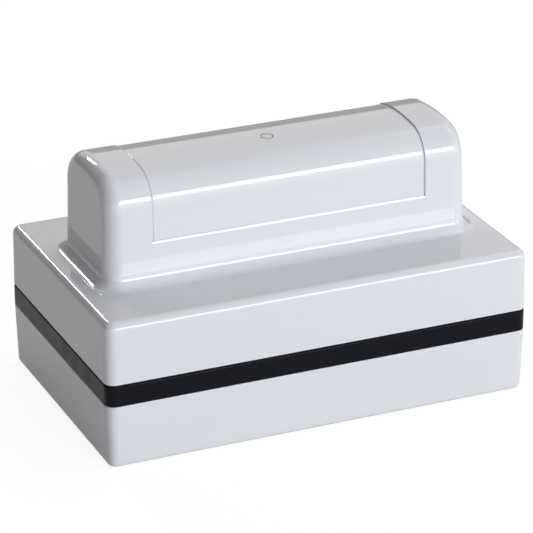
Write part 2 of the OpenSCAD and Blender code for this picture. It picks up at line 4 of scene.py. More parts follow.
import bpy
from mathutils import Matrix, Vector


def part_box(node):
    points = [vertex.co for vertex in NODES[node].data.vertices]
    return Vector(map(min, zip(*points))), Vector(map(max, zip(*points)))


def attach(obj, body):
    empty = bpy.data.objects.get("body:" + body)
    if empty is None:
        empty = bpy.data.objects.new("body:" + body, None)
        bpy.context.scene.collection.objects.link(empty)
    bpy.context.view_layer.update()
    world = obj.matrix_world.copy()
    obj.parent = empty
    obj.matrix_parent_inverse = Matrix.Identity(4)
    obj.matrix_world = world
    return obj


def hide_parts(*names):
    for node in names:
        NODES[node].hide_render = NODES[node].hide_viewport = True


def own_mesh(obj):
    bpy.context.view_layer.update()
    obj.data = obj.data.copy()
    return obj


bl_info = {
    "name": "Hand stamp dressing",
    "version": (1, 0, 0),
    "blender": (4, 5, 0),
    "location": "3D Viewport > Sidebar > Stamp",
    "description": "Finishes, springs, foam pads and studio for a pre-inked hand stamp",
    "category": "Object",
}

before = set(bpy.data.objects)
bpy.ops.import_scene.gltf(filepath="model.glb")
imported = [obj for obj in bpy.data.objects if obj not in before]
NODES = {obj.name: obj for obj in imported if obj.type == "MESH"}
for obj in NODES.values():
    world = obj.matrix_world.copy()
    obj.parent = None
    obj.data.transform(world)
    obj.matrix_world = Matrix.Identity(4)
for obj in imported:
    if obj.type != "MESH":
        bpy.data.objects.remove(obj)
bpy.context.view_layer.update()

import math

import bmesh
import bpy
import numpy as np
from bpy.props import FloatProperty, FloatVectorProperty, IntProperty, PointerProperty
from mathutils import Matrix, Vector
from mathutils.bvhtree import BVHTree

WHITE = (1.0, 1.0, 1.0, 1.0)

SHELL_NODES = ("dust_cap", "upper_housing")
COVER_NODES = ("label_cover",)
BLACK_NODES = ("middle_frame", "die_holder", "face_clamp")
SCREW_NODES = ("holder_screws", "housing_screws", "skirt_stop_screws", "skirt_stop_washers")
SPRING_NODES = tuple(f"return_spring_{k}" for k in (1, 2, 3, 4))

# Soft boxes: (azimuth, elevation) in degrees, (width, height) in metres and colour
KEY_BOX = ((21.0, 18.5), (0.95, 0.23), (0.90, 0.95, 1.0))
REAR_BOX = ((-173.0, 29.0), (0.14, 0.22), (1.0, 1.0, 1.0))
BOX_DISTANCE = 1.25
BOX_AIM = Vector((0.0, 0.0, 0.035))
# Screens of the room, all in degrees: azimuth of the middle, half width, (foot, top), and
# how far (the sides, the foot, the top) fade to either side
FRONT_WALL = (12, 58, (-20, 16), (10, 5, 5))
BACK_WINDOW = (155, 34, (13, 58), (8, 1.2, 10))
SIDE_WINDOW = (97, 28, (46, 64), (8, 4, 4))
# Sines of the elevations between which the room's fill grows to the ceiling
CEILING_RISE = (0.70, 0.98)
FLOOR_HALF = 6.0
FLOOR_DROP = 0.00002


# ---------------------------------------------------------------- sizes and colours

def colour(name, description, default):
    return FloatVectorProperty(name=name, description=description, default=default,
                               subtype="COLOR", size=3, min=0.0, max=1.0)


def length(name, description, default):
    return FloatProperty(name=name, description=description, default=default, min=0.0,
                         precision=5, subtype="DISTANCE", unit="LENGTH")


def level(name, description, default, highest=10.0):
    return FloatProperty(name=name, description=description, default=default, min=0.0,
                         max=highest, precision=4)


def share(name, description, default):
    return level(name, description, default, 1.0)


def watts(name, description, default):
    return level(name, description, default, 1000.0)


def angle(name, description, degrees):
    return FloatProperty(name=name, description=description, default=math.radians(degrees),
                         subtype="ANGLE", unit="ROTATION")


class StampShell(bpy.types.PropertyGroup):
    tint: colour("Shell colour", "Pale grey of the cap, the housing and the label cover",
                 (0.715, 0.722, 0.752))
    # Painted highlight: a paler grey for the seam beads, so the seam shows a light line
    edge_highlight_tint: colour("Edge colour", "Paler grey of the thin edges at the cover's seam",
                      (0.90, 0.905, 0.925))
    gloss: share("Shell roughness", "Roughness of the polished shells", 0.035)
    ripple: share("Moulding ripple", "Strength of the slow waves in the polished skin", 0.018)
    end_round: length("End round", "Width of the small round at the cover's two ends", 0.00055)
    bead_r: length("Bead radius", "Radius of the beads at the cover's ends", 0.00014)
    foot_bead_r: length("Foot bead radius", "Radius of the beads at its lower edges", 0.00009)
    mark_d: length("Gate mark diameter", "Plain round gate mark on the label cover", 0.0037)
    mark_h: length("Gate mark height", "How far the mark's ring stands proud", 0.00010)
    mark_at: FloatVectorProperty(name="Gate mark place", description="Its middle on the crown",
                                 default=(-0.0005, -0.0016), size=2, subtype="COORDINATES")


class StampFrame(bpy.types.PropertyGroup):
    black: colour("Frame colour", "Blue-black of the band, the deck and the clamp",
                  (0.0050, 0.0052, 0.0090))
    black_gloss: share("Frame roughness", "Roughness of the black parts", 0.26)
    skirt: colour("Skirt colour", "Dark grey of the sliding skirt", (0.060, 0.061, 0.066))
    skirt_gloss: share("Skirt roughness", "Roughness of the fine matt skirt", 0.46)


class StampDie(bpy.types.PropertyGroup):
    ink: colour("Ink pad colour", "Foam soaked with ink", (0.030, 0.006, 0.010))
    face: colour("Face colour", "Fine foam of the blank printing face", (0.150, 0.128, 0.152))
    edge_r: length("Foam edge radius", "Radius of the soft foam edges", 0.00022)
    block_l: length("Printing block length", "Length of the raised block", 0.090)
    block_d: length("Printing block depth", "Depth of the raised block", 0.040)
    flange_t: length("Flange thickness", "Thin flange that the clamp holds", 0.0004)


class StampMetal(bpy.types.PropertyGroup):
    wire_d: length("Wire diameter", "Diameter of the spring wire", 0.0006)
    turns: IntProperty(name="Spring turns", default=5, min=2, max=11,
                       description="Open turns of each spring, between its closed ends")
    spring: colour("Spring colour", "Drawn spring wire", (0.56, 0.56, 0.57))
    zinc: colour("Screw colour", "Zinc-plated screws and washers", (0.62, 0.63, 0.64))


class StampCard(bpy.types.PropertyGroup):
    paper: colour("Card colour", "Uncoated card", (0.80, 0.79, 0.75))
    rule: colour("Rule colour", "Faint printed rules", (0.42, 0.52, 0.62))
    rule_gap: length("Rule spacing", "Distance between the rules", 0.0036)


class StampStudio(bpy.types.PropertyGroup):
    floor: colour("Floor colour", "Pale floor", (0.56, 0.56, 0.56))
    floor_white: level("Floor white", "How far the camera sees the floor lifted to white",
                       0.875)
    floor_shade: share("Floor shade", "Share of the floor's own shading that the camera sees",
                       0.36)
    floor_glow: level("Floor glow", "How far reflections see it lifted", 0.36)
    key: watts("Key light", "Power of the soft box in front, watts", 8.9)
    rear: watts("Rear light", "Power of the small soft box behind, watts", 2.1)
    front_band: level("Front band", "Level of the low pale wall in front", 2.2)
    back_sky: level("Back window", "Level of the pale screen behind, to the right", 1.22)
    side_sky: level("Side window", "Level of the high screen on the right", 2.5)
    ceiling: level("Ceiling", "Level of the soft ceiling straight above", 0.42)
    back_tint: colour("Window tint", "Slightly warm light of both windows",
                      (1.0, 0.972, 0.950))
    fill: level("Fill", "Level of the rest of the room", 0.02)
    azimuth: angle("Camera azimuth", "Camera's angle from the front towards the left", -23.447)
    elevation: angle("Camera elevation", "Camera's angle above the floor", 23.527)
    roll: angle("Camera roll", "Turn about the camera's axis", -0.179)
    distance: length("Camera distance", "From the point looked at to the camera", 0.75403)
    lens: FloatProperty(name="Lens", description="Focal length on a 36 mm sensor",
                        default=207.45, min=1.0, subtype="DISTANCE_CAMERA")
    aim: FloatVectorProperty(name="Aim", description="Point that the camera is aimed at",
                             default=(0.0, 0.0, 0.0385), subtype="TRANSLATION")
    shift_up: FloatProperty(name="Rise", description="Camera's offset along its own up",
                            default=-0.00861, subtype="DISTANCE", precision=5)


GROUPS = {
    "stamp_shell": StampShell, "stamp_frame": StampFrame, "stamp_die": StampDie,
    "stamp_metal": StampMetal, "stamp_card": StampCard, "stamp_studio": StampStudio,
}


# ---------------------------------------------------------------- node helpers

def feed(tree, socket, value):
    """Links an input to another node's socket, or sets it to a value."""
    if isinstance(value, bpy.types.NodeSocket):
        tree.links.new(value, socket)
    else:
        socket.default_value = value


def add(tree, kind, inputs=None, **settings):
    """A node of that kind, with its settings and its inputs filled in."""
    made = tree.nodes.new(kind)
    for key, value in settings.items():
        setattr(made, key, value)
    for key, value in (inputs or {}).items():
        feed(tree, made.inputs[key], value)
    return made


def maths(tree, operation, a, b=0.0, c=0.0, clamp=False):
    made = add(tree, "ShaderNodeMath", {0: a, 1: b, 2: c}, operation=operation, use_clamp=clamp)
    return made.outputs[0]


def mix_colour(tree, factor, a, b):
    made = add(tree, "ShaderNodeMix", {0: factor}, data_type="RGBA")
    for socket, value in zip([s for s in made.inputs if s.type == "RGBA"], (a, b)):
        feed(tree, socket, value)
    return [s for s in made.outputs if s.type == "RGBA"][0]


def ramp(tree, value, low, high, to_low=0.0, to_high=1.0, smooth=True):
    """A value that runs from to_low at low to to_high at high, and stays there."""
    made = add(tree, "ShaderNodeMapRange", {
        "Value": value, "From Min": low, "From Max": high, "To Min": to_low,
        "To Max": to_high}, interpolation_type="SMOOTHSTEP" if smooth else "LINEAR")
    return made.outputs[0]


def noise(tree, place, size, detail=2.0, roughness=0.5, stretch=None):
    """Noise whose features are about size metres across, on Object coordinates."""
    if stretch:
        place = add(tree, "ShaderNodeMapping", {"Vector": place, "Scale": stretch}).outputs[0]
    made = add(tree, "ShaderNodeTexNoise", {
        "Vector": place, "Scale": 1.0 / size, "Detail": detail, "Roughness": roughness})
    return made.outputs[0]


def new_group(name, wanted, given):
    """An empty shader group. wanted and given are (name, kind, default) of its inputs and
    (name, kind) of its outputs."""
    group = bpy.data.node_groups.new(name, "ShaderNodeTree")
    for label, kind, default in wanted:
        socket = group.interface.new_socket(label, in_out="INPUT", socket_type=kind)
        socket.default_value = default
    for label, kind in given:
        group.interface.new_socket(label, in_out="OUTPUT", socket_type=kind)
    return group, group.nodes.new("NodeGroupInput"), group.nodes.new("NodeGroupOutput")


def moulded_skin():
    """The skin of every plastic part: colour that drifts a little where the melt flowed,
    a slow ripple and a fine grain in its height, and light scuffs in its roughness. Lean
    is added to its normal, for worn or rounded edges."""
    if "moulded skin" in bpy.data.node_groups:
        return bpy.data.node_groups["moulded skin"]
    group, inward, outward = new_group("moulded skin", [
        ("Colour", "NodeSocketColor", (0.5, 0.5, 0.5, 1.0)),
        ("Drift", "NodeSocketFloat", 0.03),
        ("Roughness", "NodeSocketFloat", 0.2),
        ("Scuffs", "NodeSocketFloat", 0.3),
        ("Ripple", "NodeSocketFloat", 0.03),
        ("Grain", "NodeSocketFloat", 0.1),
        ("Grain scale", "NodeSocketFloat", 4000.0),
        ("Lean", "NodeSocketVector", (0.0, 0.0, 0.0)),
    ], [("Colour", "NodeSocketColor"), ("Roughness", "NodeSocketFloat"),
        ("Normal", "NodeSocketVector")])
    place = add(group, "ShaderNodeTexCoord").outputs["Object"]
    flow = noise(group, place, 0.022, 3.0, 0.45, (1.0, 1.6, 2.2))
    speck = noise(group, place, 0.0011, 2.0, 0.6)
    drift = maths(group, "MULTIPLY_ADD", maths(group, "SUBTRACT", flow, 0.5),
                  inward.outputs["Drift"], 1.0)
    speckle = maths(group, "MULTIPLY_ADD", maths(group, "SUBTRACT", speck, 0.5),
                    maths(group, "MULTIPLY", inward.outputs["Drift"], 0.35), drift)
    tone = add(group, "ShaderNodeVectorMath",
               {0: inward.outputs["Colour"], "Scale": speckle}, operation="SCALE")
    group.links.new(tone.outputs[0], outward.inputs["Colour"])

    # Scuffs: thin streaks in two directions, in patches only
    patches = ramp(group, noise(group, place, 0.013, 2.0), 0.48, 0.72)
    streak_a = ramp(group, noise(group, place, 0.0006, 1.0, 0.5, (0.06, 1.0, 1.0)), 0.62, 0.74)
    streak_b = ramp(group, noise(group, place, 0.0005, 1.0, 0.5, (1.0, 0.07, 0.9)), 0.64, 0.76)
    streaks = maths(group, "MULTIPLY", maths(group, "MAXIMUM", streak_a, streak_b), patches)
    smear = ramp(group, noise(group, place, 0.006, 3.0, 0.6), 0.35, 0.75)
    wear = maths(group, "MULTIPLY_ADD", streaks, 1.6, smear)
    rough = maths(group, "MULTIPLY", wear, inward.outputs["Scuffs"])
    rough = maths(group, "MULTIPLY_ADD", rough, inward.outputs["Roughness"],
                  inward.outputs["Roughness"], clamp=True)
    group.links.new(rough, outward.inputs["Roughness"])

    ripple = noise(group, place, 0.0042, 1.0, 0.4)
    slow = add(group, "ShaderNodeBump", {
        "Height": ripple, "Distance": 0.0004, "Strength": inward.outputs["Ripple"]})
    grain = add(group, "ShaderNodeTexNoise", {
        "Vector": place, "Scale": inward.outputs["Grain scale"], "Detail": 2.0})
    fine = add(group, "ShaderNodeBump", {
        "Height": grain.outputs[0], "Distance": 0.00006,
        "Strength": inward.outputs["Grain"], "Normal": slow.outputs[0]})
    leaning = add(group, "ShaderNodeVectorMath", {0: fine.outputs[0], 1: inward.outputs["Lean"]},
                  operation="ADD").outputs[0]
    unit = add(group, "ShaderNodeVectorMath", {0: leaning}, operation="NORMALIZE").outputs[0]
    group.links.new(unit, outward.inputs["Normal"])
    return group


def foam_pores():
    """Open cells of a foam: a mask that is 1 in each cell's mouth, and its height."""
    if "foam pores" in bpy.data.node_groups:
        return bpy.data.node_groups["foam pores"]
    group, inward, outward = new_group("foam pores", [
        ("Cell scale", "NodeSocketFloat", 4000.0), ("Depth", "NodeSocketFloat", 0.5),
    ], [("Mouths", "NodeSocketFloat"), ("Stain", "NodeSocketFloat"),
        ("Normal", "NodeSocketVector")])
    place = add(group, "ShaderNodeTexCoord").outputs["Object"]
    cells = add(group, "ShaderNodeTexVoronoi", {
        "Vector": place, "Scale": inward.outputs["Cell scale"], "Randomness": 1.0})
    mouths = ramp(group, cells.outputs["Distance"], 0.34, 0.12)
    group.links.new(mouths, outward.inputs["Mouths"])
    stain = ramp(group, noise(group, place, 0.011, 4.0, 0.6), 0.34, 0.70)
    group.links.new(stain, outward.inputs["Stain"])
    bump = add(group, "ShaderNodeBump", {
        "Height": cells.outputs["Distance"], "Distance": 0.00012,
        "Strength": inward.outputs["Depth"]})
    group.links.new(bump.outputs[0], outward.inputs["Normal"])
    return group


def metal_grain():
    """Drawing lines and light tarnish of plated steel: roughness, tone and normal."""
    if "metal grain" in bpy.data.node_groups:
        return bpy.data.node_groups["metal grain"]
    group, inward, outward = new_group("metal grain", [
        ("Colour", "NodeSocketColor", (0.6, 0.6, 0.6, 1.0)),
        ("Roughness", "NodeSocketFloat", 0.25), ("Lines", "NodeSocketFloat", 0.2),
    ], [("Colour", "NodeSocketColor"), ("Roughness", "NodeSocketFloat"),
        ("Normal", "NodeSocketVector")])
    place = add(group, "ShaderNodeTexCoord").outputs["Object"]
    lines = noise(group, place, 0.00022, 2.0, 0.6, (1.0, 1.0, 0.18))
    cloud = noise(group, place, 0.0016, 3.0, 0.55)
    dark = ramp(group, cloud, 0.30, 0.75, 0.72, 1.06)
    tone = add(group, "ShaderNodeVectorMath",
               {0: inward.outputs["Colour"], "Scale": dark}, operation="SCALE")
    group.links.new(tone.outputs[0], outward.inputs["Colour"])
    rough = maths(group, "MULTIPLY_ADD", maths(group, "SUBTRACT", cloud, 0.5), 0.35,
                  inward.outputs["Roughness"], clamp=True)
    group.links.new(rough, outward.inputs["Roughness"])
    bump = add(group, "ShaderNodeBump", {
        "Height": lines, "Distance": 0.00002, "Strength": inward.outputs["Lines"]})
    group.links.new(bump.outputs[0], outward.inputs["Normal"])
    return group


def set_inputs(node, values):
    """Sets a node's inputs. An underscore in a key stands for a space."""
    for key, value in values.items():
        node.inputs[key.replace("_", " ")].default_value = value


def new_material(name, **values):
    """A material, its node tree and its shader, whose inputs are set to the values."""
    made = bpy.data.materials.new(name)
    made.use_nodes = True
    shader = made.node_tree.nodes["Principled BSDF"]
    set_inputs(shader, values)
    return made, made.node_tree, shader


def place_group(tree, group, shader, wires, **values):
    """Puts a group into a material, sets its inputs and wires its outputs to the shader.
    wires is {group output: shader input}."""
    made = add(tree, "ShaderNodeGroup", node_tree=group)
    set_inputs(made, values)
    for out_name, in_name in wires.items():
        tree.links.new(made.outputs[out_name], shader.inputs[in_name])
    return made


ALL_THREE = {"Colour": "Base Color", "Roughness": "Roughness", "Normal": "Normal"}


def opaque(rgb):
    return (rgb[0], rgb[1], rgb[2], 1.0)


def shell_plastic(name, tint, gloss, ripple):
    """The polished pale plastic: its material, its node tree and its moulded skin's node."""
    material, tree, shader = new_material(name, IOR=1.50)
    skin = place_group(tree, moulded_skin(), shader, ALL_THREE, Colour=opaque(tint),
                       Drift=0.018, Roughness=gloss, Scuffs=0.35, Ripple=ripple, Grain=0.010,
                       Grain_scale=2600.0)
    return material, tree, skin


def dress(names, material):
    for name in names:
        mesh = NODES[name].data
        mesh.materials.clear()
        mesh.materials.append(material)


# ---------------------------------------------------------------- surfaces

def ring_faces(rings, around):
    """Quads between neighbouring rings of points, each ring closed on itself."""
    r, c = np.meshgrid(np.arange(rings - 1), np.arange(around), indexing="ij")
    near, far, c2 = r * around, (r + 1) * around, (c + 1) % around
    return np.stack([near + c, near + c2, far + c2, far + c], -1).reshape(-1, 4)


def ring_piece(name, points, material, body, merge=1e-7):
    """A smooth mesh object from rings of points, riding on a body. Points that lie closer
    than merge become one, which closes poles, and every face is turned outwards."""
    mesh = bpy.data.meshes.new(name)
    mesh.from_pydata(points.reshape(-1, 3).tolist(), [], ring_faces(*points.shape[:2]).tolist())
    shape = bmesh.new()
    shape.from_mesh(mesh)
    bmesh.ops.remove_doubles(shape, verts=shape.verts, dist=merge)
    bmesh.ops.dissolve_degenerate(shape, edges=shape.edges, dist=merge)
    bmesh.ops.recalc_face_normals(shape, faces=shape.faces)
    shape.to_mesh(mesh)
    shape.free()
    mesh.polygons.foreach_set("use_smooth", np.ones(len(mesh.polygons), bool))
    mesh.materials.append(material)
    mesh.update()
    piece = bpy.data.objects.new(name, mesh)
    bpy.context.scene.collection.objects.link(piece)
    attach(piece, body)
    return piece


def rounded_path(hx, hy, r, inset, steps=6):
    """Points round a rectangle of half sizes hx - inset and hy - inset whose corners have
    radius r - inset, for an array of insets. Each corner is a quarter of a circle about
    the same centre, and a negative radius is cut to zero, so the last ring is a line."""
    turn = np.linspace(0.0, math.pi / 2, steps + 1)
    angles = np.concatenate([turn + k * math.pi / 2 for k in range(4)])
    sx = np.repeat([1.0, -1.0, -1.0, 1.0], steps + 1)
    sy = np.repeat([1.0, 1.0, -1.0, -1.0], steps + 1)
    inset = np.asarray(inset, float)[:, None]
    radius = np.maximum(r - inset, 0.0)
    x = sx * np.maximum(hx - inset - radius, 0.0) + radius * np.cos(angles)
    y = sy * np.maximum(hy - inset - radius, 0.0) + radius * np.sin(angles)
    return x, y


def slab_of_rings(hx, hy, corner_r, profile):
    """A closed slab: each (inset, height) of the profile, from the middle of its underside
    out and back to the middle of its top, is one ring round a rounded rectangle."""
    profile = np.asarray(profile, float)
    x, y = rounded_path(hx, hy, corner_r, profile[:, 0])
    z = np.repeat(profile[:, 1:2], x.shape[1], axis=1)
    return np.stack([x, y, z], -1)


def quarter(cx, cz, r, start, end, steps=4):
    """Points of an arc as (inset, height); inset grows towards the middle of the slab."""
    a = np.linspace(math.radians(start), math.radians(end), steps + 1)
    return np.stack([cx + r * np.cos(a), cz + r * np.sin(a)], -1)


def tube(line, side, other, r, sides=12):
    """Rings of points round a line: each is a circle in the plane of side and other, and a
    point at each end closes the tube."""
    side, other = np.broadcast_to(side, line.shape), np.broadcast_to(other, line.shape)
    b = np.linspace(0.0, 2 * math.pi, sides, endpoint=False)
    circle = (np.cos(b)[:, None] * side[:, None, :] + np.sin(b)[:, None] * other[:, None, :])
    ends = [np.repeat(line[k][None, None, :], sides, axis=1) for k in (0, -1)]
    return np.concatenate([ends[0], line[:, None, :] + r * circle, ends[1]], axis=0)


def coil(centre, radius, wire_r, low, high, turns, dead=1.0, per_turn=40):
    """A compression spring of one wire. The wire's middle line turns evenly and rises by
    little more than its own thickness in each dead turn at the ends, and evenly in the
    open turns between, and the section is a circle square to it."""
    count = int((turns + 2 * dead) * per_turn) + 1
    t = np.linspace(0.0, turns + 2 * dead, count)
    step = 2.02 * wire_r  # leaves a hair between the turns that lie on each other
    rise_dead = dead * step
    open_rise = high - low - 2 * wire_r - 2 * rise_dead
    z = low + wire_r + np.interp(
        t, [0.0, dead, dead + turns, 2 * dead + turns],
        [0.0, rise_dead, rise_dead + open_rise, 2 * rise_dead + open_rise])
    a = 2 * math.pi * t
    out = np.stack([np.cos(a), np.sin(a), np.zeros_like(a)], -1)
    mid = out * radius + np.stack([np.full_like(a, centre[0]), np.full_like(a, centre[1]), z], -1)
    along = np.gradient(mid, axis=0)
    along /= np.linalg.norm(along, axis=1, keepdims=True)
    return tube(mid, out, np.cross(along, out), wire_r)


def cover_skin():
    """The label cover's surface, to be hit by rays."""
    mesh = NODES["label_cover"].data
    return BVHTree.FromPolygons([v.co for v in mesh.vertices],
                                [tuple(f.vertices) for f in mesh.polygons])


def from_angles(azimuth, elevation):
    """Unit vector towards a place azimuth from the front (-Y) towards +X, and elevation up."""
    return Vector((math.sin(azimuth) * math.cos(elevation),
                   -math.cos(azimuth) * math.cos(elevation), math.sin(elevation)))


# ---------------------------------------------------------------- operators

class STAMP_OT_shells(bpy.types.Operator):
    """Gives the cap, the housing and the label cover their polished pale plastic"""
    bl_idname = "stamp.shells"
    bl_label = "Dress the shells"

    def execute(self, context):
        size = context.scene.stamp_shell
        for name, nodes in (("shell plastic", SHELL_NODES), ("cover plastic", COVER_NODES)):
            material, tree, skin = shell_plastic(name, size.tint, size.gloss, size.ripple)
            if nodes == COVER_NODES:
                tree.links.new(self.end_lean(tree, size.end_round), skin.inputs["Lean"])
            dress(nodes, material)
        return {"FINISHED"}

    def end_lean(self, tree, width):
        """Leans the normal outwards over the last width of the cover's two ends, from
        nothing to the slope of a small round."""
        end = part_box("label_cover")[1].x
        place = add(tree, "ShaderNodeTexCoord").outputs["Object"]
        along = add(tree, "ShaderNodeSeparateXYZ", {0: place}).outputs["X"]
        right = ramp(tree, along, end - width, end, smooth=False)
        left = ramp(tree, along, width - end, -end, smooth=False)
        return add(tree, "ShaderNodeCombineXYZ",
                   {"X": maths(tree, "SUBTRACT", right, left)}).outputs[0]


class STAMP_OT_seam_bead(bpy.types.Operator):
    """Rounds the label cover's two ends and its two lower edges with thin beads that lie
    in its seam"""
    bl_idname = "stamp.seam_bead"
    bl_label = "Round the cover's edge"

    def execute(self, context):
        size = context.scene.stamp_shell
        low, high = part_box("label_cover")
        # Painted highlight: the beads get a paler grey than the walls, so the seam shows a light
        # line
        material = shell_plastic("edge highlight plastic", size.edge_highlight_tint, 2 * size.gloss, 0.0)[0]
        line, outward = self.outline(low, high, 2 * size.bead_r)
        for name, x in (("seam_bead_left", low.x), ("seam_bead_right", high.x)):
            line[:, 0] = x
            self.bead(name, line - size.bead_r * outward, outward, (1.0, 0.0, 0.0),
                      size.bead_r, material)
        for name, row in (("seam_bead_back", 0), ("seam_bead_front", -1)):
            foot = np.array([[x, line[row, 1], low.z] for x in (low.x, high.x)])
            # Flush with the wall, its middle a quarter of its radius below the wall's edge
            inward = -math.copysign(size.foot_bead_r, foot[0, 1])
            self.bead(name, foot + (0.0, inward, -size.foot_bead_r / 4),
                      (0.0, 1.0, 0.0), (0.0, 0.0, 1.0), size.foot_bead_r, material)
        return {"FINISHED"}

    def outline(self, low, high, lift, rays=160, start=0.1):
        """Points and normals of the cover's section, over its crown from back to front and
        down to lift above its lower edges. Rays find them, from start metres away inwards."""
        skin = cover_skin()
        hub = Vector((0.0, 0.0, (low.z + high.z) / 2))
        droop = math.atan2(hub.z - low.z - lift, high.y)
        line, outward = [], []
        for a in np.linspace(-droop, math.pi + droop, rays):
            ray = Vector((0.0, math.cos(a), math.sin(a)))
            spot, normal, _face, _way = skin.ray_cast(hub + start * ray, -ray)
            line.append(spot)
            outward.append(normal)
        return np.array(line), np.array(outward)

    def bead(self, name, line, side, other, r, material):
        """A round bead along a line, riding on the cover."""
        piece = ring_piece(name, tube(line, side, other, r), material, "cover")


class STAMP_OT_gate_mark(bpy.types.Operator):
    """Sets the plain round gate mark on the crown of the label cover"""
    bl_idname = "stamp.gate_mark"
    bl_label = "Set the gate mark"

    def execute(self, context):
        size = context.scene.stamp_shell
        radius, rim = size.mark_d / 2, size.mark_h
        # Height of the mark over its radius: a low dot, a flat disc, a groove, a lip and an
        # edge that is sunk into the crown
        r = radius * np.array([0.0, 0.07, 0.11, 0.50, 0.70, 0.76, 0.88, 0.92, 0.96, 1.0])
        h = rim * np.array([0.75, 0.70, 0.55, 0.55, 0.55, 0.15, 0.15, 0.60, 0.60, -0.30])
        a = np.linspace(0.0, 2 * math.pi, 64, endpoint=False)
        x = size.mark_at[0] + r[:, None] * np.cos(a)
        y = size.mark_at[1] + r[:, None] * np.sin(a)
        crown = cover_skin()
        over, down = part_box("label_cover")[1].z + 0.01, Vector((0.0, 0.0, -1.0))
        base = [crown.ray_cast(Vector((px, py, over)), down)[0].z
                for px, py in zip(x.ravel(), y.ravel())]
        points = np.stack([x, y, np.reshape(base, x.shape) + h[:, None]], -1)
        material, tree, skin = shell_plastic("gate mark plastic", size.tint, size.gloss,
                                             size.ripple)
        # Painted shade: the groove's ring is coloured far darker than the shell, standing in for
        # the shade that falls in it
        place = add(tree, "ShaderNodeTexCoord").outputs["Object"]
        place = add(tree, "ShaderNodeMapping", {
            "Vector": place, "Location": (-size.mark_at[0], -size.mark_at[1], 0.0),
            "Scale": (1.0, 1.0, 0.0)}).outputs[0]
        away = add(tree, "ShaderNodeVectorMath", {0: place}, operation="LENGTH").outputs["Value"]
        groove_shade_mask = maths(tree, "MULTIPLY", ramp(tree, away, r[4], r[5]),
                       ramp(tree, away, r[7], r[6]))
        groove_shade_tint = opaque(Vector(size.tint) * 0.12)
        tone = mix_colour(tree, groove_shade_mask, opaque(size.tint), groove_shade_tint)
        tree.links.new(tone, skin.inputs["Colour"])
        mark = ring_piece("gate_mark", points, material, "cover")
        return {"FINISHED"}


class STAMP_OT_dark_parts(bpy.types.Operator):
    """Gives the band, the deck, the holder, the clamp and the skirt their dark plastics"""
    bl_idname = "stamp.dark_parts"
    bl_label = "Dress the dark parts"

    def execute(self, context):
        size = context.scene.stamp_frame
        material, tree, shader = new_material("frame plastic", IOR=1.43,
                                              Specular_IOR_Level=0.14)
        place_group(tree, moulded_skin(), shader, ALL_THREE, Colour=opaque(size.black),
                    Drift=0.20, Roughness=size.black_gloss, Scuffs=0.45, Ripple=0.05,
                    Grain=0.10, Grain_scale=3800.0)
        dress(BLACK_NODES, material)
        material, tree, shader = new_material("skirt plastic", IOR=1.47)
        place_group(tree, moulded_skin(), shader, ALL_THREE, Colour=opaque(size.skirt),
                    Drift=0.14, Roughness=size.skirt_gloss, Scuffs=0.30, Ripple=0.04,
                    Grain=0.45, Grain_scale=3000.0)
        dress(("skirt",), material)
        return {"FINISHED"}


class STAMP_OT_foam(bpy.types.Operator):
    """Makes the soft-edged ink pad and the blank printing face in their solids' places"""
    bl_idname = "stamp.foam"
    bl_label = "Make the foam pads"

    def execute(self, context):
        size = context.scene.stamp_die
        e = size.edge_r
        low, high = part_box("ink_pad")
        hx, hy = high.x, high.y
        pad_profile = np.concatenate([
            [(hy, low.z), (3 * e, low.z)],
            quarter(e, low.z + e, e, 270, 180),
            quarter(e, high.z - e, e, 180, 90),
            [(3 * e, high.z), (hy, high.z)],
        ])
        foam = self.foam("ink foam", size.ink, cell_scale=1500.0, depth=0.9, rough=0.36)
        pad = ring_piece("ink_pad_foam", slab_of_rings(hx, hy, 4 * e, pad_profile), foam,
                         "stamp")
        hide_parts("ink_pad")

        low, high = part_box("stamp_face")
        hx, hy = high.x, high.y
        step = hx - size.block_l / 2
        shelf = high.z - size.flange_t
        thin = size.flange_t / 2
        face_profile = np.concatenate([
            [(hy, low.z), (step + 3 * e, low.z)],
            quarter(step + e, low.z + e, e, 270, 180),
            [(step, shelf - e / 2), (step - e / 2, shelf)],
            [(thin + e, shelf)],
            quarter(thin, shelf + thin, thin, 270, 90),
            [(thin + e, high.z), (hy, high.z)],
        ])
        foam = self.foam("face foam", size.face, cell_scale=5200.0, depth=0.35, rough=0.62)
        face = ring_piece("stamp_face_foam", slab_of_rings(hx, hy, 4 * e, face_profile), foam,
                          "stamp")
        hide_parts("stamp_face")
        return {"FINISHED"}

    def foam(self, name, tint, cell_scale, depth, rough):
        """A foam with cell_scale cells to the metre, dark in their mouths and stained in
        patches."""
        material, tree, shader = new_material(name, IOR=1.40, Roughness=rough)
        cells = place_group(tree, foam_pores(), shader, {"Normal": "Normal"},
                            Cell_scale=cell_scale, Depth=depth)
        mouth, patch = opaque(Vector(tint) * 0.35), opaque(Vector(tint) * 0.72)
        stained = mix_colour(tree, cells.outputs["Stain"], opaque(tint), patch)
        tone = mix_colour(tree, cells.outputs["Mouths"], stained, mouth)
        tree.links.new(tone, shader.inputs["Base Color"])
        return material


class STAMP_OT_springs(bpy.types.Operator):
    """Winds the four return springs with closed ends"""
    bl_idname = "stamp.springs"
    bl_label = "Wind the springs"

    def execute(self, context):
        size = context.scene.stamp_metal
        material, tree, shader = new_material("spring steel", Metallic=1.0)
        place_group(tree, metal_grain(), shader, ALL_THREE, Colour=opaque(size.spring),
                    Roughness=0.24, Lines=0.35)
        for name in SPRING_NODES:
            low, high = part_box(name)
            centre = (low + high) / 2
            radius = (high.x - low.x) / 2 - size.wire_d / 2
            rings = coil(centre, radius, size.wire_d / 2, low.z, high.z, size.turns)
            wire = ring_piece(f"{name}_wire", rings, material, "stamp", merge=1e-8)
            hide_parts(name)
            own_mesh(wire)
        return {"FINISHED"}


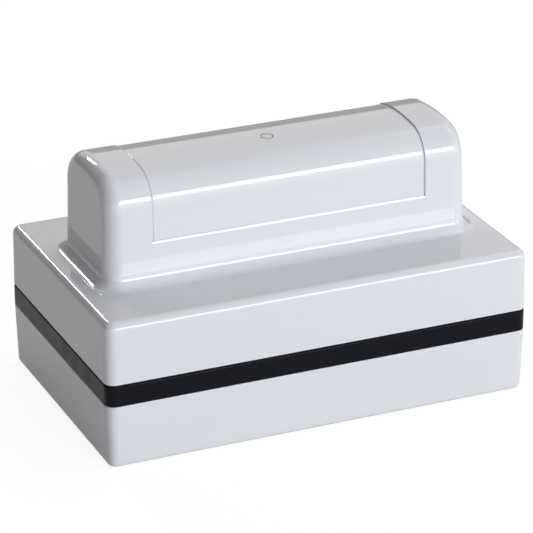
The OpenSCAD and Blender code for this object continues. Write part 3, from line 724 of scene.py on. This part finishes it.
class STAMP_OT_fasteners(bpy.types.Operator):
    """Gives the screws and washers their zinc plating"""
    bl_idname = "stamp.fasteners"
    bl_label = "Plate the screws"

    def execute(self, context):
        size = context.scene.stamp_metal
        material, tree, shader = new_material("zinc plate", Metallic=1.0)
        place_group(tree, metal_grain(), shader, ALL_THREE, Colour=opaque(size.zinc),
                    Roughness=0.34, Lines=0.15)
        dress(SCREW_NODES, material)
        return {"FINISHED"}


class STAMP_OT_card(bpy.types.Operator):
    """Gives the card under the cover its paper and its faint printed rules"""
    bl_idname = "stamp.card"
    bl_label = "Rule the card"

    def execute(self, context):
        size = context.scene.stamp_card
        material, tree, shader = new_material("ruled card", Roughness=0.86)
        place = add(tree, "ShaderNodeTexCoord").outputs["Object"]
        fibres = noise(tree, place, 0.0004, 4.0, 0.65, (0.35, 1.0, 1.0))
        tone = mix_colour(tree, ramp(tree, fibres, 0.3, 0.7), opaque(Vector(size.paper) * 0.93),
                          opaque(size.paper))
        across = add(tree, "ShaderNodeSeparateXYZ", {0: place}).outputs["Y"]
        phase = maths(tree, "PINGPONG", across, size.rule_gap / 2)
        half_width, ink = 0.00008, 0.7
        rule = maths(tree, "LESS_THAN", phase, half_width)
        tone = mix_colour(tree, maths(tree, "MULTIPLY", rule, ink), tone, opaque(size.rule))
        tree.links.new(tone, shader.inputs["Base Color"])
        bump = add(tree, "ShaderNodeBump", {
            "Height": fibres, "Distance": 0.00003, "Strength": 0.5})
        tree.links.new(bump.outputs[0], shader.inputs["Normal"])
        dress(("index_card",), material)
        return {"FINISHED"}


class STAMP_OT_camera(bpy.types.Operator):
    """Sets the camera where the photograph was taken from"""
    bl_idname = "stamp.camera"
    bl_label = "Set the camera"

    def execute(self, context):
        size = context.scene.stamp_studio
        back = from_angles(size.azimuth, size.elevation)
        right = Vector((math.cos(size.azimuth), math.sin(size.azimuth), 0.0))
        up = back.cross(right)
        data = bpy.data.cameras.new("camera")
        data.lens = size.lens
        data.sensor_width = 36.0
        data.clip_start, data.clip_end = 0.01, 50.0
        camera = bpy.data.objects.new("camera", data)
        context.scene.collection.objects.link(camera)
        turn = Matrix((right, up, back)).transposed().to_4x4()
        spot = Vector(size.aim) + back * size.distance + up * size.shift_up
        camera.matrix_world = (Matrix.Translation(spot) @ turn
                               @ Matrix.Rotation(size.roll, 4, "Z"))
        context.scene.camera = camera
        return {"FINISHED"}


class STAMP_OT_stage(bpy.types.Operator):
    """Lays the pale floor and sets the two soft boxes and the room's soft light"""
    bl_idname = "stamp.stage"
    bl_label = "Set the stage"

    def execute(self, context):
        size = context.scene.stamp_studio
        self.floor(size)
        self.soft_box("key light", size.key, *KEY_BOX)
        self.soft_box("rear light", size.rear, *REAR_BOX)
        self.room(context.scene, size)
        context.scene.view_settings.view_transform = "Standard"
        return {"FINISHED"}

    def floor(self, size):
        mesh = bpy.data.meshes.new("floor")
        corners = [(FLOOR_HALF * x, FLOOR_HALF * y, 0) for x, y in
                   ((-1, -1), (1, -1), (1, 1), (-1, 1))]
        mesh.from_pydata(corners, [], [(0, 1, 2, 3)])
        ground = bpy.data.objects.new("floor", mesh)
        ground.location.z = -FLOOR_DROP
        bpy.context.scene.collection.objects.link(ground)
        material, tree, shader = new_material("pale floor", Roughness=0.9,
                                              Specular_IOR_Level=0.1, Emission_Color=WHITE)
        mesh.materials.append(material)
        # The camera sees the lit floor lifted to white, with a faint shadow; reflections
        # see it lifted much less
        rays = add(tree, "ShaderNodeLightPath")
        tree.links.new(mix_colour(tree, rays.outputs["Is Camera Ray"], opaque(size.floor),
                                  opaque(Vector(size.floor) * size.floor_shade)),
                       shader.inputs["Base Color"])
        mirrored = maths(tree, "MAXIMUM", rays.outputs["Is Glossy Ray"],
                         rays.outputs["Is Transmission Ray"])
        lift = maths(tree, "MULTIPLY_ADD", rays.outputs["Is Camera Ray"], size.floor_white,
                     maths(tree, "MULTIPLY", mirrored, size.floor_glow))
        tree.links.new(lift, shader.inputs["Emission Strength"])

    def soft_box(self, name, power, angles, sizes, tint):
        data = bpy.data.lights.new(name, "AREA")
        data.shape = "RECTANGLE"
        data.size, data.size_y = sizes
        data.energy = power
        data.color = tint
        lamp = bpy.data.objects.new(name, data)
        way = from_angles(math.radians(angles[0]), math.radians(angles[1]))
        lamp.matrix_world = (Matrix.Translation(BOX_AIM + way * BOX_DISTANCE)
                             @ way.to_track_quat("Z", "Y").to_matrix().to_4x4())
        lamp.visible_camera = False
        bpy.context.scene.collection.objects.link(lamp)

    def screen(self, tree, way, strength, toward, half, rise, blur):
        """A pale screen in the room, as a smooth function of direction: toward is the
        azimuth of its middle from the front, half its half width and rise its lower and
        upper edge, all in degrees. Its sides, foot and top fade over blur degrees to
        either side."""
        flat = add(tree, "ShaderNodeVectorMath", {0: way, 1: (1.0, 1.0, 0.0)},
                   operation="MULTIPLY").outputs[0]
        flat = add(tree, "ShaderNodeVectorMath", {0: flat}, operation="NORMALIZE").outputs[0]
        middle = from_angles(math.radians(toward), 0.0)
        near = add(tree, "ShaderNodeVectorMath", {0: flat, 1: middle},
                   operation="DOT_PRODUCT").outputs["Value"]
        height = add(tree, "ShaderNodeSeparateXYZ", {0: way}).outputs["Z"]

        def edge(value, curve, outer, inner):
            return ramp(tree, value, curve(math.radians(outer)), curve(math.radians(inner)))
        wide = edge(near, math.cos, half + blur[0], half - blur[0])
        tall = maths(tree, "MULTIPLY",
                     edge(height, math.sin, rise[0] - blur[1], rise[0] + blur[1]),
                     edge(height, math.sin, rise[1] + blur[2], rise[1] - blur[2]))
        return maths(tree, "MULTIPLY", maths(tree, "MULTIPLY", wide, tall), strength)

    def room(self, scene, size):
        world = bpy.data.worlds.new("studio")
        world.use_nodes = True
        scene.world = world
        tree = world.node_tree
        tree.nodes.clear()
        way = add(tree, "ShaderNodeTexCoord").outputs["Generated"]
        height = add(tree, "ShaderNodeSeparateXYZ", {0: way}).outputs["Z"]
        cool = maths(tree, "ADD", ramp(tree, height, *CEILING_RISE, size.fill, size.ceiling),
                     self.screen(tree, way, size.front_band, *FRONT_WALL))
        warm = maths(tree, "ADD", self.screen(tree, way, size.back_sky, *BACK_WINDOW),
                     self.screen(tree, way, size.side_sky, *SIDE_WINDOW))
        front, behind, white = (
            add(tree, "ShaderNodeBackground", {"Color": tint, "Strength": strength}).outputs[0]
            for tint, strength in ((WHITE, cool), (opaque(size.back_tint), warm), (WHITE, 1.0)))
        light = add(tree, "ShaderNodeAddShader", {0: front, 1: behind}).outputs[0]
        rays = add(tree, "ShaderNodeLightPath")
        both = add(tree, "ShaderNodeMixShader",
                   {0: rays.outputs["Is Camera Ray"], 1: light, 2: white}).outputs[0]
        add(tree, "ShaderNodeOutputWorld", {"Surface": both})


class STAMP_PT_panel(bpy.types.Panel):
    """Lists the stamp's pieces, its stage and their sizes"""
    bl_idname = "STAMP_PT_panel"
    bl_label = "Hand stamp"
    bl_space_type = "VIEW_3D"
    bl_region_type = "UI"
    bl_category = "Stamp"

    def draw(self, context):
        for operator in OPERATORS:
            self.layout.operator(operator.bl_idname)
        for slot, group in GROUPS.items():
            box = self.layout.box()
            for key in group.__annotations__:
                box.prop(getattr(context.scene, slot), key)


OPERATORS = (
    STAMP_OT_camera, STAMP_OT_shells, STAMP_OT_seam_bead, STAMP_OT_gate_mark,
    STAMP_OT_dark_parts, STAMP_OT_foam, STAMP_OT_springs, STAMP_OT_fasteners, STAMP_OT_card,
    STAMP_OT_stage,
)
CLASSES = tuple(GROUPS.values()) + OPERATORS + (STAMP_PT_panel,)


def register():
    for made in CLASSES:
        bpy.utils.register_class(made)
    for slot, group in GROUPS.items():
        setattr(bpy.types.Scene, slot, PointerProperty(type=group))


def unregister():
    for slot in GROUPS:
        delattr(bpy.types.Scene, slot)
    for made in reversed(CLASSES):
        bpy.utils.unregister_class(made)


def main():
    register()
    for operator in OPERATORS:
        area, name = operator.bl_idname.split(".")
        getattr(getattr(bpy.ops, area), name)()


if __name__ == "__main__":
    main()
